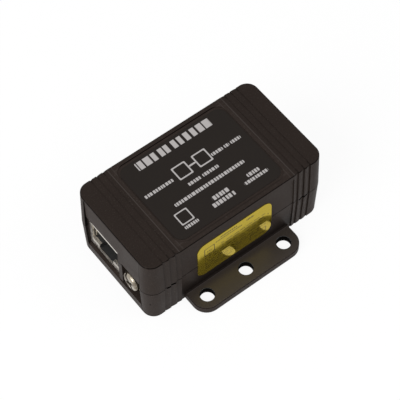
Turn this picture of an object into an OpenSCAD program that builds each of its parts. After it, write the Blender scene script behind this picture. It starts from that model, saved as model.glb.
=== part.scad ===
// Inline surge protector for a network lead: two shielded eight-way jacks on a board,
// in a two-part snap-fit box with a screw-down flange and an earth screw.
// Millimetres. +X runs along the box, +Z is up, and the origin is the centre of the base.

/* [Box] */
// Length of the box at its parting line
body_length = 57.15; // [56:0.05:70]
// Width of the box at its parting line
body_width = 31.75; // [31.5:0.05:40]
// Height of the box
body_height = 25; // [23:0.1:32]
// Height of the parting line above the base
parting_height = 12.3; // [11.5:0.1:13.5]
// Radius of the upright corners at the parting line
corner_radius = 3.75; // [3.2:0.05:4.2]
// How far the walls lean in from the parting line to the top and to the base
draft_inset = 0.4; // [0.2:0.05:0.6]
// Rounding of the top and bottom edges
edge_round = 0.45; // [0.25:0.05:0.7]
// Thickness of the side and end walls
wall = 1.8; // [1.6:0.05:1.95]
// Thickness of the floor
floor_thickness = 1.5; // [1.2:0.1:2]
// Thickness of the roof
roof_thickness = 1.8; // [1.4:0.1:2.4]

/* [Panels and ribs] */
// Distance from the top face down to the upper edge of the side panels
panel_margin = 1.7; // [1.2:0.1:3]
// Distance from the top face down to the upper edge of the end panels
end_panel_margin = 0.8; // [0.6:0.1:1.6]
// Half length of the plain centre stretch between the ribs
centre_half = 18.2; // [17:0.1:19]
// Depth of the side panels
side_panel_depth = 0.3; // [0.15:0.05:0.4]
// Half width of the end panels
end_panel_half = 11.7; // [11.6:0.05:11.9]
// Depth of the end panels behind the leaning wall
end_panel_inset = 0.1; // [0.05:0.05:0.3]
// Height of the lower half's sill under the end panels
sill_height = 3.6; // [3:0.1:3.7]
// Number of ribs at each end
rib_count = 3; // [2:1:3]
// Distance between ribs
rib_pitch = 1.95; // [1.7:0.05:2]
// Length of the slope on each rib
rib_slope = 1.5; // [1:0.05:1.6]
// Depth of the step between ribs on the sides
rib_step = 0.35; // [0.15:0.05:0.5]
// Depth of the step between ribs on the top
top_rib_step = 0.14; // [0.08:0.02:0.3]
// Depth of the centre stretch below the top face
centre_depth = 0.1; // [0.05:0.05:0.2]
// Chamfer on both halves along the parting line
parting_chamfer = 0.12; // [0.05:0.01:0.2]
// Half length of the label pocket
pocket_half_length = 17.2; // [16.9:0.05:17.6]
// Half width of the label pocket
pocket_half_width = 14.2; // [13.6:0.05:14.4]
// Depth of the label pocket
pocket_depth = 0.3; // [0.2:0.05:0.4]
// Corner radius of the label pocket
pocket_corner = 3; // [1.5:0.1:4]

/* [Flange] */
// Distance from an outer hole to the end of the flange
flange_end = 4.3; // [3.5:0.1:6]
// Distance from the line of holes to the outer edge of the flange
flange_edge = 3.96; // [3.2:0.01:6]
// Thickness of the flange
flange_thickness = 2.3; // [1.8:0.1:3]
// Outer corner radius of the flange
flange_corner = 4.2; // [2.5:0.1:4.4]
// Diameter of the screw holes in the flange
flange_hole = 4; // [3.2:0.1:4.4]
// Distance between the flange holes
flange_hole_pitch = 12.7; // [11:0.1:12.9]
// Distance from the wall to the line of flange holes
flange_hole_reach = 3.19; // [2.9:0.01:3.8]
// Chamfer along the flange's upper edge
flange_chamfer = 0.35; // [0.2:0.05:0.5]
// Bead between the flange and the wall
flange_bead = 0.3; // [0.2:0.05:0.6]

/* [Snap fit] */
// Distance of the snap hooks from the middle of the box
hook_x = 21.5; // [21.3:0.1:22]
// Width of a snap hook and of its pry slot
hook_width = 2.75; // [2.2:0.05:3]
// Length of a snap hook below the parting line
hook_length = 3.3; // [2.6:0.1:4.5]
// Thickness of a snap hook
hook_thickness = 1; // [0.8:0.05:1.05]
// Reach of the barb on a snap hook
barb_reach = 0.5; // [0.3:0.05:0.6]
// Height of the pry slots in the parting line
pry_height = 0.6; // [0.3:0.05:0.8]
// Depth of the pry slots
pry_depth = 1; // [0.6:0.05:1.1]

/* [Board] */
// Thickness of the circuit board
board_thickness = 1.6; // [1.2:0.1:1.6]
// Height of the pads that hold the board off the floor
board_lift = 0.7; // [0.6:0.1:1]
// Gap between the edge of the board and the box
board_gap = 0.25; // [0.15:0.05:0.4]
// Diameter of the posts that hold the board down
post_diameter = 2.4; // [1.8:0.1:2.4]
// Length of the solder tails below the board
tail_stub = 0.4; // [0.2:0.05:0.5]

/* [Jacks] */
// Distance of a jack's face behind the widest part of the end wall
jack_setback = 1.3; // [1.25:0.05:1.5]
// Width of a jack's shield
jack_width = 15.6; // [15:0.1:15.9]
// Height of a jack's shield
jack_height = 13.2; // [12.9:0.1:14]
// Length of a jack's shield
jack_length = 15.9; // [15.7:0.1:16.1]
// Thickness of the shield's sheet metal
sheet = 0.3; // [0.2:0.05:0.35]
// Width of the plug opening
plug_width = 11.7; // [11.5:0.1:12]
// Height of the plug opening
plug_height = 6.7; // [6.5:0.1:6.9]
// Height of the plug opening above the board
plug_base = 2.9; // [2.7:0.1:3]
// Width of the notch for the plug's latch
latch_width = 6.1; // [5.6:0.1:6.4]
// Depth of the notch for the plug's latch
latch_drop = 1.9; // [1.6:0.1:2.1]
// Distance between contact wires
contact_pitch = 1.02; // [0.98:0.01:1.1]
// Thickness of a contact wire
contact_thickness = 0.35; // [0.25:0.05:0.4]
// Width of a contact wire
contact_width = 0.45; // [0.35:0.05:0.5]
// Slope of the sprung ends of the contact wires
contact_slope = 16; // [12:1:17]

/* [End openings] */
// Place of the bar between the jack opening and the earth screw opening
divider_y = -2.7; // [-2.9:0.05:-2.5]
// Width of that bar
divider_width = 1.5; // [1.2:0.05:1.7]
// Height of the jack openings above the board
jack_window_height = 12.9; // [12:0.1:13.1]
// Height of the earth screw opening above the board
screw_window_height = 9.3; // [9:0.1:9.8]

/* [Earth screw] */
// Height of the earth screw above the board
screw_rise = 4.7; // [4.5:0.05:4.9]
// Distance of the earth screw from the middle of its opening towards the jack
screw_offset = 0.725; // [0.6:0.025:0.8]
// Distance of the screw head's face behind the widest part of the end wall
screw_setback = 0.1; // [0:0.05:0.3]
// Diameter of the screw's head
screw_head = 5.7; // [5:0.1:6.4]
// Height of the screw's head
screw_head_height = 1.8; // [1.6:0.1:2]
// Diameter of the screw's thread
screw_thread = 3; // [2.5:0.1:3.5]
// Length of the screw's shank
screw_length = 6; // [5:0.1:8]
// Width of the driver slot
slot_width = 0.8; // [0.6:0.05:1]
// Depth of the driver slot
slot_depth = 0.9; // [0.6:0.05:1]
// Turn of the driver slot from upright
slot_turn = 36; // [0:2:90]
// Length of the short slot across it
cross_length = 3.2; // [2:0.1:3.6]
// Side of the square clamping washer
clamp_side = 6.4; // [6:0.1:6.6]
// Thickness of the clamping washer
clamp_thickness = 0.8; // [0.5:0.05:1]
// Thickness of the earth bracket's strip
bracket_thickness = 1.2; // [0.8:0.05:1.4]
// Width of the earth bracket
bracket_width = 7; // [6.4:0.1:7.4]

/* [Surge parts] */
// Diameter of a gas tube
tube_diameter = 5; // [4:0.1:5.1]
// Length of a gas tube
tube_length = 6.8; // [6:0.1:7.2]
// Distance between gas tubes, and between the diode arrays beside them
tube_pitch = 5.5; // [5.2:0.05:5.6]
// Length of a diode array's body
array_length = 4.9; // [4.4:0.1:5]
// Width of a diode array's body
array_width = 3.9; // [3.5:0.1:4]
// Length of the supply clamp's body
clamp_diode_length = 4.6; // [4:0.1:5]
// Width of the supply clamp's body
clamp_diode_width = 3.8; // [3:0.1:4.2]

/* [Labels] */
// Length of the top label
top_label_length = 33.5; // [30:0.1:33.6]
// Width of the top label
top_label_width = 26.6; // [24:0.1:27]
// Length of the side label
side_label_length = 23.9; // [20:0.1:26]
// Distance from the side panel's upper edge down to the side label
side_label_margin = 3; // [2:0.1:4]
// Distance of the side label from the middle of the box
side_label_x = -1.05; // [-3:0.05:3]
// Height of the side label's lower edge
side_label_base = 6.1; // [5:0.1:7]
// Corner radius of the labels
label_corner = 2.6; // [1:0.1:3]
// Thickness of the labels
label_thickness = 0.15; // [0.08:0.01:0.18]

/* [Hidden] */

// Small distance by which a cut passes a face
past = 1;
// Gap between pieces that are fixed to each other
seat_gap = 0.1;
// Gap round a metal piece in its plastic slot
slip_gap = 0.05;
// Steps in the rounding of an edge, and in a bend of sheet or wire
edge_steps = 4;
bend_steps = 6;
$fn = 48;

half_length = body_length / 2;
half_width = body_width / 2;
panel_top = body_height - panel_margin;
end_panel_plane = half_length - draft_inset - end_panel_inset;
inner_half_length = half_length - wall;
inner_half_width = half_width - wall;
inner_corner = corner_radius - wall;
first_step = centre_half + rib_slope;

flange_length = 2 * (flange_hole_pitch + flange_end);
flange_reach = flange_hole_reach + flange_edge;

board_bottom = floor_thickness + board_lift;
board_top = board_bottom + board_thickness;
board_half_length = inner_half_length - draft_inset - board_gap;
board_half_width = inner_half_width - draft_inset - board_gap;
board_corner = 2;
tail_end = board_thickness + tail_stub;

jack_face = half_length - jack_setback;
jack_back = jack_face - jack_length;
jack_window_low = divider_y + divider_width / 2;
jack_y = (jack_window_low + end_panel_half) / 2;
jack_pocket_face = jack_face + seat_gap;
body_half_width = jack_width / 2 - sheet - slip_gap;
body_top = jack_height - sheet - slip_gap;
body_front = sheet + slip_gap;
body_back = jack_length - sheet - slip_gap;
plug_top = plug_base + plug_height;
plug_depth = 12;
lip_depth = 0.9;

contact_count = 8;
wire_run = plug_top + 1.15;
bend_radius = 0.5;
bend_x = 4;
spring_length = 8.2;
tail_row_front = plug_depth + 0.9;
tail_row_pitch = 2.3;
tail_row_back = tail_row_front + tail_row_pitch;
carrier_front = 3;
carrier_rear = plug_depth + 0.3;
carrier_half_width = 5.2;
carrier_room = 2 * (carrier_half_width + slip_gap);
carrier_base = plug_top + 0.6;
carrier_height = 2.1;
carrier_top = carrier_base + carrier_height;
comb_depth = 1.1;
comb_drop = 3.6;
comb_thickness = contact_pitch / 3;

stake_x = 8.5;
stake_y = (jack_width - sheet) / 2;
stake_width = 1.6;
peg_x = 6;
peg_y = 5.7;
peg_diameter = 3.1;

screw_window_high = divider_y - divider_width / 2;
screw_y = (screw_window_high - end_panel_half) / 2 + screw_offset;
screw_z = board_top + screw_rise;
screw_face = half_length - screw_setback;
head_seat = screw_face - screw_head_height;
clamp_seat = head_seat - clamp_thickness;
thread_gap = 0.05;
cross_depth = slot_depth + 0.2;
bracket_rise = 4;
bracket_foot = 5;
leg_width = 1.4;
leg_spread = 5;

barb_length = 1.3;
post_x = jack_back - post_diameter / 2 - seat_gap - 0.2;
post_y = board_half_width - post_diameter / 2 - 0.1;
tube_count = 4;
array_lead = 1.05;
array_span = array_width + 2 * array_lead;
row_gap = (2 * jack_back - tube_length - array_span) / 3;
tube_x = -jack_back + row_gap + tube_length / 2;
array_x = jack_back - row_gap - array_span / 2;
array_height = 1.5;
clamp_diode_height = 2.3;
clamp_diode_fold = 0.4;
clamp_diode_gap = 2.7;
clamp_diode_x = bracket_leg_x() + clamp_diode_gap + clamp_diode_length / 2 + clamp_diode_fold;
lead_diameter = 0.8;
hole_gap = 0.1;

pocket_floor = body_height - pocket_depth;
side_label_top = panel_top - side_label_margin;
side_label_height = side_label_top - side_label_base;

// Lean of a side or end wall at a height
function lean_at(z) = z > parting_height
    ? draft_inset * (z - parting_height) / (body_height - parting_height)
    : draft_inset * (parting_height - z) / parting_height;

// Points down a leaning wall with a rounded far edge, as distance from the middle and height
function wall_points(half, z_from, z_to, lean, round, over, chamfer) =
    let (up = z_to > z_from ? 1 : -1)
    concat(
        [[0, z_from - up * over], [half - chamfer, z_from - up * over]],
        over + chamfer > 0 ? [[half, z_from + up * chamfer]] : [],
        [for (i = [0:edge_steps]) let (a = 90 * i / edge_steps)
            [half - lean - round * (1 - cos(a)), z_to - up * round * (1 - sin(a))]],
        [[0, z_to]]
    );

// Points on both sides of the middle, made from the points on one side
function both_sides(points) = concat(
    points,
    [for (i = [len(points) - 1:-1:0]) if (points[i][0] > 0) [-points[i][0], points[i][1]]]
);

function unit(v) = v / norm(v);
function turn_left(v) = [-v[1], v[0]];

// Point beside a corner of a path, at a distance to its left
function beside(path, i, distance) =
    let (
        before = unit(path[max(i, 1)] - path[max(i, 1) - 1]),
        after = i < len(path) - 1 ? unit(path[i + 1] - path[i]) : before,
        middle = unit(turn_left(before) + turn_left(after))
    )
    path[i] + middle * distance / (middle * turn_left(before));

// Outline of a strip of even thickness along a path
function strip(path, thickness) = concat(
    [for (i = [0:len(path) - 1]) beside(path, i, thickness / 2)],
    [for (i = [len(path) - 1:-1:0]) beside(path, i, -thickness / 2)]
);

// Points round a bend, from one angle to another
function bend(centre, radius, from, to) =
    [for (i = [0:bend_steps]) let (a = from + (to - from) * i / bend_steps)
        centre + radius * [cos(a), sin(a)]];

// Solid between two heights with leaning walls, round upright corners and a rounded far edge
module drafted_block(length, width, z_from, z_to, radius, round, over = 0, chamfer = 0) {
    function outline(half) =
        wall_points(half, z_from, z_to, draft_inset, round, over, chamfer);
    for (end = [-1, 1], side = [-1, 1])
        translate([end * (length / 2 - radius), side * (width / 2 - radius), 0])
            rotate_extrude($fn = 64) polygon(outline(radius));
    rotate([90, 0, 90])
        linear_extrude(length - 2 * radius, center = true) polygon(both_sides(outline(width / 2)));
    rotate([90, 0, 0])
        linear_extrude(width - 2 * radius, center = true) polygon(both_sides(outline(length / 2)));
}

module rounded_plate(length, width, height, radius) {
    linear_extrude(height) {
        square([length - 2 * radius, width], center = true);
        square([length, width - 2 * radius], center = true);
        for (x = [-1, 1], y = [-1, 1])
            translate([x * (length / 2 - radius), y * (width / 2 - radius)]) circle(radius);
    }
}

// Puts a shape on a leaning side wall: +Y out of the wall, +Z away from the parting line
module on_side_wall(side, half) {
    rise = half > 0 ? body_height - parting_height : parting_height;
    translate([0, side * half_width, parting_height])
        rotate([side * half * atan(draft_inset / rise), 0, 0])
            mirror([0, side < 0 ? 1 : 0, 0])
                mirror([0, 0, half < 0 ? 1 : 0])
                    children();
}

// Outline of the steps between the ribs at one end, cut into a face that lies along X
module rib_steps(depth) {
    for (i = [0:rib_count - 1])
        translate([first_step + i * rib_pitch, 0])
            polygon([[-rib_slope, 0], [0, -depth], [0, past], [-rib_slope, past]]);
}

module rib_cuts(half) {
    for (end = [0, 1]) mirror([end, 0, 0]) {
        for (side = [-1, 1])
            on_side_wall(side, half)
                translate([0, 0, -seat_gap]) linear_extrude(body_height) rib_steps(rib_step);
        if (half > 0)
            translate([0, half_width + past, body_height])
                rotate([90, 0, 0])
                    linear_extrude(body_width + 2 * past) rib_steps(top_rib_step);
    }
}

// Shallow recess in the middle of both long sides
module side_panel_cuts(z_from, z_to) {
    for (side = [-1, 1])
        rotate([90, 0, 90])
            linear_extrude(2 * centre_half, center = true)
                polygon([
                    for (z = [z_from, parting_height, z_to])
                        [side * (half_width - lean_at(z) - side_panel_depth), z],
                    [side * (half_width + past), z_to],
                    [side * (half_width + past), z_from]
                ]);
}

// Hollow in the end walls that a jack's face stands in
module jack_pockets() {
    for (end = [-1, 1])
        translate([end * (jack_pocket_face - wall), jack_y, board_top + jack_height / 2])
            cube([2 * wall, jack_width + 2 * seat_gap, jack_height + 2 * seat_gap], center = true);
}

// Places for the snap hooks, at each end of each long side
module at_hooks() {
    for (end = [-1, 1], side = [0, 1])
        mirror([0, side, 0]) translate([end * hook_x, 0, parting_height]) children();
}

module snap_hook() {
    outer = inner_half_width - draft_inset / 2;
    root = 2.5;
    translate([-hook_width / 2, outer - hook_thickness, -hook_length])
        cube([hook_width, hook_thickness, hook_length + root]);
    translate([-hook_width / 2, outer - hook_thickness, seat_gap])
        cube([hook_width, hook_thickness + wall / 2, root - seat_gap]);
    translate([-hook_width / 2, outer, -hook_length])
        rotate([90, 0, 90])
            linear_extrude(hook_width)
                polygon([
                    [-seat_gap, 0], [0, 0],
                    [barb_reach, barb_length - 0.6], [barb_reach, barb_length - 0.3],
                    [0, barb_length], [-seat_gap, barb_length]
                ]);
}

// Catch in the lower half's wall for the barb of a snap hook
module catch_cut() {
    width = hook_width + 4 * seat_gap;
    reach = draft_inset / 2 + barb_reach + seat_gap;
    translate([-width / 2, inner_half_width - draft_inset, -hook_length - seat_gap])
        cube([width, reach, barb_length + 4 * seat_gap]);
}

module pry_slot() {
    translate([-hook_width / 2, half_width - pry_depth, -pry_height])
        cube([hook_width, pry_depth + past, pry_height + past]);
}

// End wall of the upper half, which reaches down between the lower half's corners
module end_tongue() {
    translate([inner_half_length, -end_panel_half, sill_height + seat_gap])
        cube([end_panel_plane - inner_half_length, 2 * end_panel_half, parting_height - sill_height]);
}

module end_panel_cut() {
    translate([end_panel_plane, -end_panel_half, sill_height])
        cube([half_length, 2 * end_panel_half, body_height - end_panel_margin - sill_height]);
}

// Openings in the end walls for the jacks, and at one end for the earth screw
module end_windows() {
    jack_window_top = board_top + jack_window_height;
    screw_window_top = board_top + screw_window_height;
    for (end = [0, 1]) mirror([end, 0, 0])
        translate([inner_half_length - past, jack_window_low, sill_height])
            cube([wall + 2 * past, end_panel_half - jack_window_low, jack_window_top - sill_height]);
    translate([-half_length - past, -end_panel_half, sill_height])
        cube([wall + 2 * past, end_panel_half + screw_window_high, screw_window_top - sill_height]);
}

module hold_down_posts() {
    base = board_top + seat_gap;
    for (x = [-1, 1], y = [-1, 1])
        translate([x * post_x, y * post_y, base])
            cylinder(d = post_diameter, h = body_height - roof_thickness / 2 - base);
}

module upper_housing() {
    color([0.17, 0.15, 0.14]) difference() {
        union() {
            difference() {
                drafted_block(body_length, body_width, parting_height, body_height,
                    corner_radius, edge_round, chamfer = parting_chamfer);
                drafted_block(2 * inner_half_length, 2 * inner_half_width, parting_height,
                    body_height - roof_thickness, inner_corner, edge_round, past);
            }
            for (end = [0, 1]) mirror([end, 0, 0]) end_tongue();
            hold_down_posts();
            at_hooks() snap_hook();
        }
        translate([-centre_half, -body_width, body_height - centre_depth])
            cube([2 * centre_half, 2 * body_width, past]);
        translate([0, 0, pocket_floor])
            rounded_plate(2 * pocket_half_length, 2 * pocket_half_width,
                pocket_depth + past, pocket_corner);
        rib_cuts(1);
        side_panel_cuts(parting_height - past, panel_top);
        for (end = [0, 1]) mirror([end, 0, 0]) end_panel_cut();
        end_windows();
        jack_pockets();
    }
}

module flange() {
    outer = -half_width - flange_reach;
    inner = -half_width + wall / 2;
    difference() {
        union() {
            translate([0, (outer + inner) / 2, 0])
                linear_extrude(flange_thickness - flange_chamfer) flange_outline(0);
            translate([0, (outer + inner) / 2, flange_thickness - flange_chamfer])
                linear_extrude(flange_chamfer) flange_outline(flange_chamfer / 2);
        }
        for (i = [-1:1])
            translate([i * flange_hole_pitch, -half_width - flange_hole_reach, -past])
                cylinder(d = flange_hole, h = flange_thickness + 2 * past);
    }
    face = -half_width + lean_at(flange_thickness) + side_panel_depth;
    translate([0, face, flange_thickness])
        rotate([90, 0, 90])
            linear_extrude(flange_length, center = true) polygon([
                [-flange_bead, 0], [0, flange_bead],
                [wall / 2, flange_bead], [wall / 2, -flange_bead], [-flange_bead, -flange_bead]
            ]);
}

// Flange seen from above, drawn in from its free edges by an inset
module flange_outline(inset) {
    depth = flange_reach + wall / 2;
    radius = flange_corner - inset;
    length = flange_length - 2 * inset;
    translate([-length / 2, -depth / 2 + inset + radius])
        square([length, depth - inset - radius]);
    translate([-length / 2 + radius, -depth / 2 + inset])
        square([length - 2 * radius, depth - inset]);
    for (side = [-1, 1])
        translate([side * (length / 2 - radius), -depth / 2 + inset + radius]) circle(radius);
}

module board_pads() {
    size = 3;
    for (x = [-1, 1], y = [-1, 1]) {
        translate([x * post_x, y * post_y, floor_thickness / 2])
            cylinder(d = post_diameter, h = board_bottom - floor_thickness / 2);
        translate([
            x * (board_half_length - size / 2) - size / 2,
            y * (board_half_width - size / 2) - size / 2,
            floor_thickness / 2
        ])
            cube([size, size, board_bottom - floor_thickness / 2]);
    }
}

module lower_housing() {
    notch_half = end_panel_half + seat_gap;
    color([0.17, 0.15, 0.14]) {
        difference() {
            drafted_block(body_length, body_width, parting_height, 0,
                corner_radius, edge_round, chamfer = parting_chamfer);
            drafted_block(2 * inner_half_length, 2 * inner_half_width, parting_height,
                floor_thickness, inner_corner, edge_round, past);
            for (end = [0, 1]) mirror([end, 0, 0])
                translate([inner_half_length - draft_inset - past, -notch_half, sill_height])
                    cube([half_length, 2 * notch_half, parting_height]);
            rib_cuts(-1);
            side_panel_cuts(-past, parting_height + past);
            jack_pockets();
            at_hooks() {
                catch_cut();
                pry_slot();
            }
        }
        flange();
        board_pads();
    }
}

// Puts a jack, drawn with its face at the origin and its depth along +X, in its place
module at_jack(end) {
    translate([end * jack_face, jack_y, board_top]) rotate([0, 0, end > 0 ? 180 : 0]) children();
}

// Solder tails of a jack's contacts, in two staggered rows
function tail_x(i) = i % 2 == 0 ? tail_row_front : tail_row_back;
function contact_y(i) = (i - (contact_count - 1) / 2) * contact_pitch;

function contact_path(i) = let (
    bend_centre = [bend_x, wire_run - bend_radius],
    last = 270 - contact_slope,
    tip = bend_centre + bend_radius * [cos(last), sin(last)]
        + spring_length * [cos(contact_slope), -sin(contact_slope)]
) concat(
    [[tail_x(i), -tail_end]],
    bend([tail_x(i) - bend_radius, wire_run - bend_radius], bend_radius, 0, 90),
    bend(bend_centre, bend_radius, 90, last),
    [tip]
);

module contact_wire(i, gap = 0) {
    width = contact_width + 2 * gap;
    translate([0, contact_y(i) + width / 2, 0])
        rotate([90, 0, 0])
            linear_extrude(width) polygon(strip(contact_path(i), contact_thickness + 2 * gap));
}

// Plug opening seen from the front: the plug's own width, and the notch for its latch
module plug_outline(grow = 0) {
    translate([-plug_width / 2 - grow, plug_base - grow])
        square([plug_width + 2 * grow, plug_height + 2 * grow]);
}

module latch_outline() {
    translate([-latch_width / 2, plug_base - latch_drop])
        square([latch_width, latch_drop + past]);
}

// Stretches a shape seen from the front from one depth of a jack to another
module along_jack(from, to) {
    translate([from, 0, 0]) rotate([90, 0, 90]) linear_extrude(to - from) children();
}

module jack_shield() {
    color([0.78, 0.76, 0.72]) difference() {
        union() {
            difference() {
                translate([0, -jack_width / 2, 0]) cube([jack_length, jack_width, jack_height]);
                translate([sheet, -jack_width / 2 + sheet, -past])
                    cube([jack_length - 2 * sheet, jack_width - 2 * sheet, jack_height - sheet + past]);
            }
            along_jack(0, lip_depth) plug_outline(sheet);
            for (side = [-1, 1])
                translate([stake_x, side * stake_y, (sheet - tail_end) / 2])
                    cube([stake_width, sheet, tail_end + sheet], center = true);
        }
        along_jack(-past, lip_depth + past) {
            plug_outline();
            latch_outline();
        }
    }
}

module jack_body() {
    color([0.11, 0.11, 0.12]) {
        difference() {
            translate([body_front, -body_half_width, 0])
                cube([body_back - body_front, 2 * body_half_width, body_top]);
            along_jack(0, plug_depth) {
                plug_outline();
                latch_outline();
            }
            along_jack(0, lip_depth + slip_gap) plug_outline(sheet + slip_gap);
            translate([carrier_front, -carrier_room / 2, plug_top - past])
                cube([jack_length, carrier_room, carrier_top + slip_gap - plug_top + past]);
            translate([plug_depth, -carrier_room / 2, -past])
                cube([jack_length, carrier_room, carrier_top + past]);
        }
        for (side = [-1, 1])
            translate([peg_x, side * peg_y, -board_thickness + seat_gap])
                cylinder(d = peg_diameter, h = board_thickness);
    }
}

module jack_carrier() {
    color([0.2, 0.2, 0.21]) difference() {
        union() {
            translate([carrier_front + slip_gap, -carrier_half_width, carrier_base])
                cube([
                    body_back - carrier_front - slip_gap,
                    2 * carrier_half_width,
                    carrier_height
                ]);
            translate([carrier_rear, -carrier_half_width, 0])
                cube([body_back - carrier_rear, 2 * carrier_half_width, carrier_top]);
            for (i = [0:contact_count])
                translate([
                    carrier_rear - comb_depth,
                    contact_y(i - 0.5) - comb_thickness / 2,
                    carrier_base - comb_drop
                ])
                    cube([comb_depth + slip_gap, comb_thickness, comb_drop + slip_gap]);
        }
        for (i = [0:contact_count - 1]) contact_wire(i, slip_gap);
    }
}

module jack_contacts() {
    color([0.85, 0.7, 0.32]) for (i = [0:contact_count - 1]) contact_wire(i);
}

module circuit_board() {
    color([0.05, 0.3, 0.16]) difference() {
        translate([0, 0, board_bottom])
            rounded_plate(2 * board_half_length, 2 * board_half_width, board_thickness, board_corner);
        for (end = [-1, 1]) at_jack(end) {
            for (i = [0:contact_count - 1])
                board_hole([tail_x(i), contact_y(i)], contact_width * 1.4);
            for (side = [-1, 1]) {
                board_hole([peg_x, side * peg_y], peg_diameter);
                translate([stake_x, side * stake_y, -board_thickness / 2])
                    cube([
                        stake_width + 2 * hole_gap,
                        sheet + 2 * hole_gap,
                        board_thickness + past
                    ], center = true);
            }
        }
        for (n = [1:tube_count]) at_tube(n) for (x = lead_places()) board_hole([x, 0], lead_diameter);
        for (side = [-1, 1])
            translate([
                bracket_leg_x(),
                screw_y + side * leg_spread / 2,
                board_top - board_thickness / 2
            ])
                cube([
                    bracket_thickness + 2 * hole_gap,
                    leg_width + 2 * hole_gap,
                    board_thickness + 2 * past
                ], center = true);
    }
}

// Hole through the board for something of a given diameter
module board_hole(place, diameter) {
    translate([place[0], place[1], -board_thickness - past])
        cylinder(d = diameter + 2 * hole_gap, h = board_thickness + 2 * past, $fn = 24);
}

module earth_screw() {
    edge = 0.5;
    color([0.8, 0.79, 0.76])
        translate([-screw_face, screw_y, screw_z]) rotate([0, 90, 0]) difference() {
            rotate_extrude() polygon(concat(
                [[0, 0]],
                bend([screw_head / 2 - edge * 2, edge * 2], edge * 2, -90, 0),
                [[screw_head / 2, screw_head_height], [screw_thread / 2, screw_head_height],
                 [screw_thread / 2, screw_head_height + screw_length - edge],
                 [screw_thread / 2 - edge, screw_head_height + screw_length],
                 [0, screw_head_height + screw_length]]
            ));
            rotate([0, 0, -slot_turn]) {
                translate([-screw_head, -slot_width / 2, -past])
                    cube([2 * screw_head, slot_width, slot_depth + past]);
                translate([-slot_width / 2, -cross_length / 2, -past])
                    cube([slot_width, cross_length, cross_depth + past]);
            }
        }
}

module clamp_washer() {
    corner = 0.8;
    color([0.74, 0.73, 0.7])
        translate([-head_seat, screw_y, screw_z]) rotate([0, 90, 0]) difference() {
            rounded_plate(clamp_side, clamp_side, clamp_thickness, corner);
            translate([0, 0, -past])
                cylinder(d = screw_thread + 2 * thread_gap, h = clamp_thickness + 2 * past);
        }
}

function bracket_leg_x() = -clamp_seat + bracket_foot;

// Strip bent up from the board, tapped for the earth screw, with two solder legs
module earth_bracket() {
    middle = -clamp_seat + bracket_thickness / 2;
    low = board_top + bracket_thickness / 2;
    inner_bend = 1.2;
    path = concat(
        [[middle, screw_z + bracket_rise]],
        bend([middle + inner_bend, low + inner_bend], inner_bend, 180, 270),
        [[bracket_leg_x() + bracket_thickness / 2, low]]
    );
    color([0.76, 0.75, 0.7]) difference() {
        union() {
            translate([0, screw_y + bracket_width / 2, 0]) rotate([90, 0, 0])
                linear_extrude(bracket_width) polygon(strip(path, bracket_thickness));
            for (side = [-1, 1])
                translate([bracket_leg_x() - bracket_thickness / 2,
                    screw_y + side * leg_spread / 2 - leg_width / 2, board_top - tail_end])
                    cube([bracket_thickness, leg_width, tail_end + bracket_thickness / 2]);
        }
        translate([-clamp_seat - past, screw_y, screw_z])
            rotate([0, 90, 0])
                cylinder(d = screw_thread + 2 * thread_gap, h = bracket_thickness + 2 * past);
    }
}

function row_y(n) = (n - (tube_count + 1) / 2) * tube_pitch;
function lead_places() = [-tube_length / 2 + 0.9, 0, tube_length / 2 - 0.9];

module at_tube(n) {
    translate([tube_x, row_y(n), board_top]) children();
}

// Three-terminal gas tube: two ceramic rings between end and centre electrodes
module gas_tube(n) {
    rim = 0.9;
    groove = 0.25;
    axis_height = tube_diameter / 2 + 0.3;
    r = tube_diameter / 2;
    color([0.86, 0.85, 0.84]) at_tube(n) {
        translate([0, 0, axis_height]) rotate([0, 90, 0]) rotate_extrude() polygon([
            [0, -tube_length / 2], [r, -tube_length / 2], [r, -tube_length / 2 + rim],
            [r - groove, -tube_length / 2 + rim], [r - groove, -rim / 2], [r, -rim / 2],
            [r, rim / 2], [r - groove, rim / 2], [r - groove, tube_length / 2 - rim],
            [r, tube_length / 2 - rim], [r, tube_length / 2], [0, tube_length / 2]
        ]);
        for (x = lead_places())
            translate([x, 0, -tail_end])
                cylinder(d = lead_diameter, h = tail_end + axis_height / 2, $fn = 24);
    }
}

// Small outline package with four bent leads on each side
module diode_array(n) {
    lead_count = 4;
    lead_pitch = 1.27;
    lead_width = 0.42;
    lead_thickness = 0.2;
    lift = 0.1;
    shoulder = 0.75;
    color([0.12, 0.12, 0.13]) translate([array_x, row_y(n), board_top]) {
        rotate([90, 0, 0]) linear_extrude(array_length, center = true) polygon([
            [-array_width / 2 + 0.1, lift], [array_width / 2 - 0.1, lift],
            [array_width / 2, shoulder], [array_width / 2 - 0.15, array_height],
            [-array_width / 2 + 0.15, array_height], [-array_width / 2, shoulder]
        ]);
        for (end = [0, 1], i = [1:lead_count])
            mirror([end, 0, 0]) translate([0, (i - (lead_count + 1) / 2) * lead_pitch, 0])
                rotate([90, 0, 0]) linear_extrude(lead_width, center = true) polygon(strip([
                    [array_width / 2 - 0.3, shoulder], [array_width / 2 + 0.35, shoulder],
                    [array_width / 2 + 0.5, lead_thickness / 2],
                    [array_width / 2 + array_lead, lead_thickness / 2]
                ], lead_thickness));
    }
}

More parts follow.
